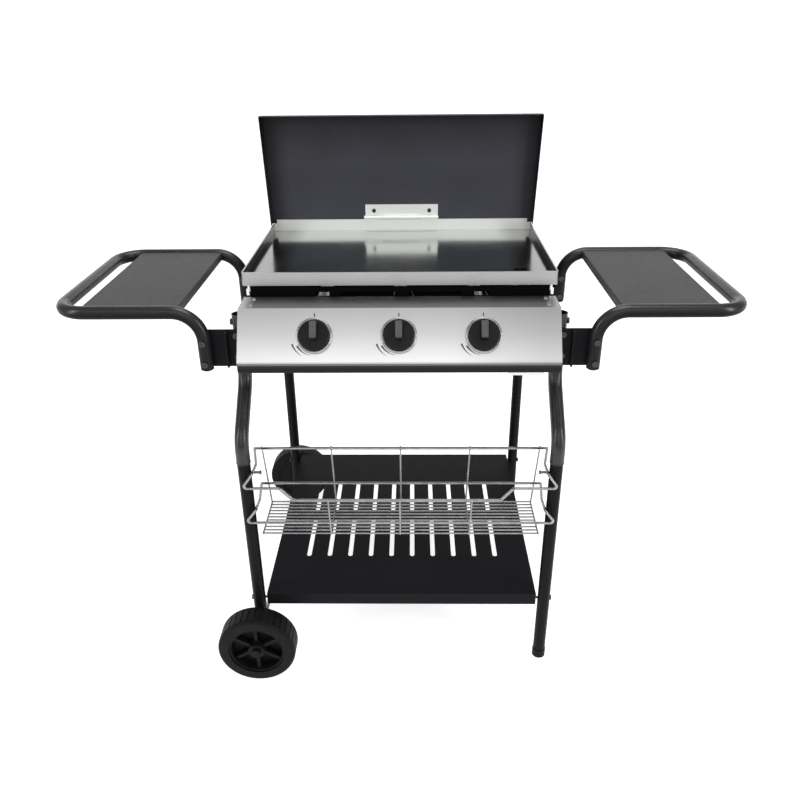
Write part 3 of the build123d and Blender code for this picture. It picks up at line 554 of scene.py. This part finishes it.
def basket_pegs(material):
    """Short headed pegs on the inner side of the front legs; the basket's end wires rest on them."""
    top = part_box("basket_left_end")[1][2] - BASKET_RAIL_R
    for side, sign in (("left", -1), ("right", 1)):
        profile = [(0.0, 0.0), (0.0026, 0.0), (0.0026, 0.0150), (0.0040, 0.0154), (0.0042, 0.0172),
                   (0.0034, 0.0186), (0.0, 0.0190)]
        lathe(f"{side}_basket_peg", profile, (sign * PEG_X, PEG_Y, top - PEG_DROP), (-sign, 0, 0),
              material, "cart", "zinc", 24)


def build_floor():
    """Plain white floor that sweeps up into a white wall far behind the object."""
    s = Shader("studio_floor")
    pale = s.ramp(s.noise(2.0, 2.0), [(0.3, (0.86, 0.86, 0.86)), (0.7, (0.88, 0.88, 0.88))])
    s.set(Base_Color=pale, Roughness=0.9, Specular_IOR_Level=0.1)
    s.set(Emission_Color=pale, Emission_Strength=FLOOR_GLOW)
    bend = 3.0
    curve = [(-14.0, 0.0), (7.0, 0.0)]
    for k in range(1, 13):
        angle = math.pi / 2 * k / 12
        curve.append((7.0 + bend * math.sin(angle), bend - bend * math.cos(angle)))
    curve.append((7.0 + bend, 7.0))
    verts = [(x, y, z) for y, z in curve for x in (-14.0, 14.0)]
    faces = [(2 * k, 2 * k + 1, 2 * k + 3, 2 * k + 2) for k in range(len(curve) - 1)]
    mesh = bpy.data.meshes.new("floor")
    mesh.from_pydata(verts, [], faces)
    mesh.materials.append(s.material)
    floor = bpy.data.objects.new("floor", mesh)
    bpy.context.collection.objects.link(floor)


def area_light(name, place, target, size, power):
    """Soft rectangular light aimed at a point."""
    data = bpy.data.lights.new(name, "AREA")
    data.shape = "RECTANGLE"
    data.size, data.size_y = size
    data.energy = power
    light = bpy.data.objects.new(name, data)
    bpy.context.collection.objects.link(light)
    light.location = place
    light.rotation_euler = (Vector(target) - Vector(place)).to_track_quat("-Z", "Y").to_euler()


def build_lights():
    """Dim surround, two soft lights behind the camera, one above and one at each side."""
    world = bpy.data.worlds.new("studio")
    bpy.context.scene.world = world
    world.use_nodes = True
    background = world.node_tree.nodes["Background"]
    background.inputs["Color"].default_value = (0.97, 0.98, 1.0, 1)
    background.inputs["Strength"].default_value = 0.35
    area_light("front_soft", (0.0, -4.2, 3.6), (0, 0, 0.7), (4.6, 2.4), 44)
    area_light("front_low", (0.0, -4.5, 1.75), (0, 0, 0.8), (3.6, 1.0), 13)
    area_light("top_soft", (0.2, 0.1, 3.4), (0, 0, 0.7), (2.6, 1.8), 40)
    area_light("left_strip", (-2.6, -1.6, 1.6), (0, 0, 0.6), (0.5, 2.2), 34)
    area_light("right_strip", (2.6, -1.6, 1.6), (0, 0, 0.6), (0.5, 2.2), 44)


def build_camera():
    """Camera with the photograph's place, tilt and lens."""
    data = bpy.data.cameras.new("view")
    data.lens = CAMERA_LENS
    data.sensor_width = 36.0
    data.shift_y = CAMERA_SHIFT_Y
    forward = Vector((-math.sin(CAMERA_YAW) * math.cos(CAMERA_PITCH),
                      math.cos(CAMERA_YAW) * math.cos(CAMERA_PITCH), -math.sin(CAMERA_PITCH)))
    right = Vector((math.cos(CAMERA_YAW), math.sin(CAMERA_YAW), 0))
    up = right.cross(forward)
    turn = math.cos(CAMERA_ROLL), math.sin(CAMERA_ROLL)
    rolled_right = right * turn[0] + up * turn[1]
    rolled_up = up * turn[0] - right * turn[1]
    view = bpy.data.objects.new("view", data)
    bpy.context.collection.objects.link(view)
    axes = Matrix((rolled_right, rolled_up, -forward)).transposed()
    view.matrix_world = Matrix.Translation(CAMERA_AT) @ axes.to_4x4()
    bpy.context.scene.camera = view


def build_details():
    """Everything that the CAD nodes don't carry."""
    ink = printed("panel_ink", (0.03, 0.03, 0.03))
    pale = moulded("pointer_grey", (0.045, 0.044, 0.046), 0.4, 1500.0)
    plastic = moulded("plug_moulding", (0.012, 0.012, 0.013), 0.4, 1200.0)
    coat = powder_coat("lip_coat", (0.022, 0.022, 0.026), 0.26)
    for name in KNOB_NAMES:
        knob_marks(name, ink)
        knob_pointer(name, pale)
    tube_plugs(plastic)
    leg_collars(coat)
    basket_pegs(plated("peg_steel", (0.16, 0.16, 0.165), 0.3))


build_camera()
dress_nodes()
build_details()
build_floor()
build_lights()
bpy.context.scene.view_settings.view_transform = "Standard"
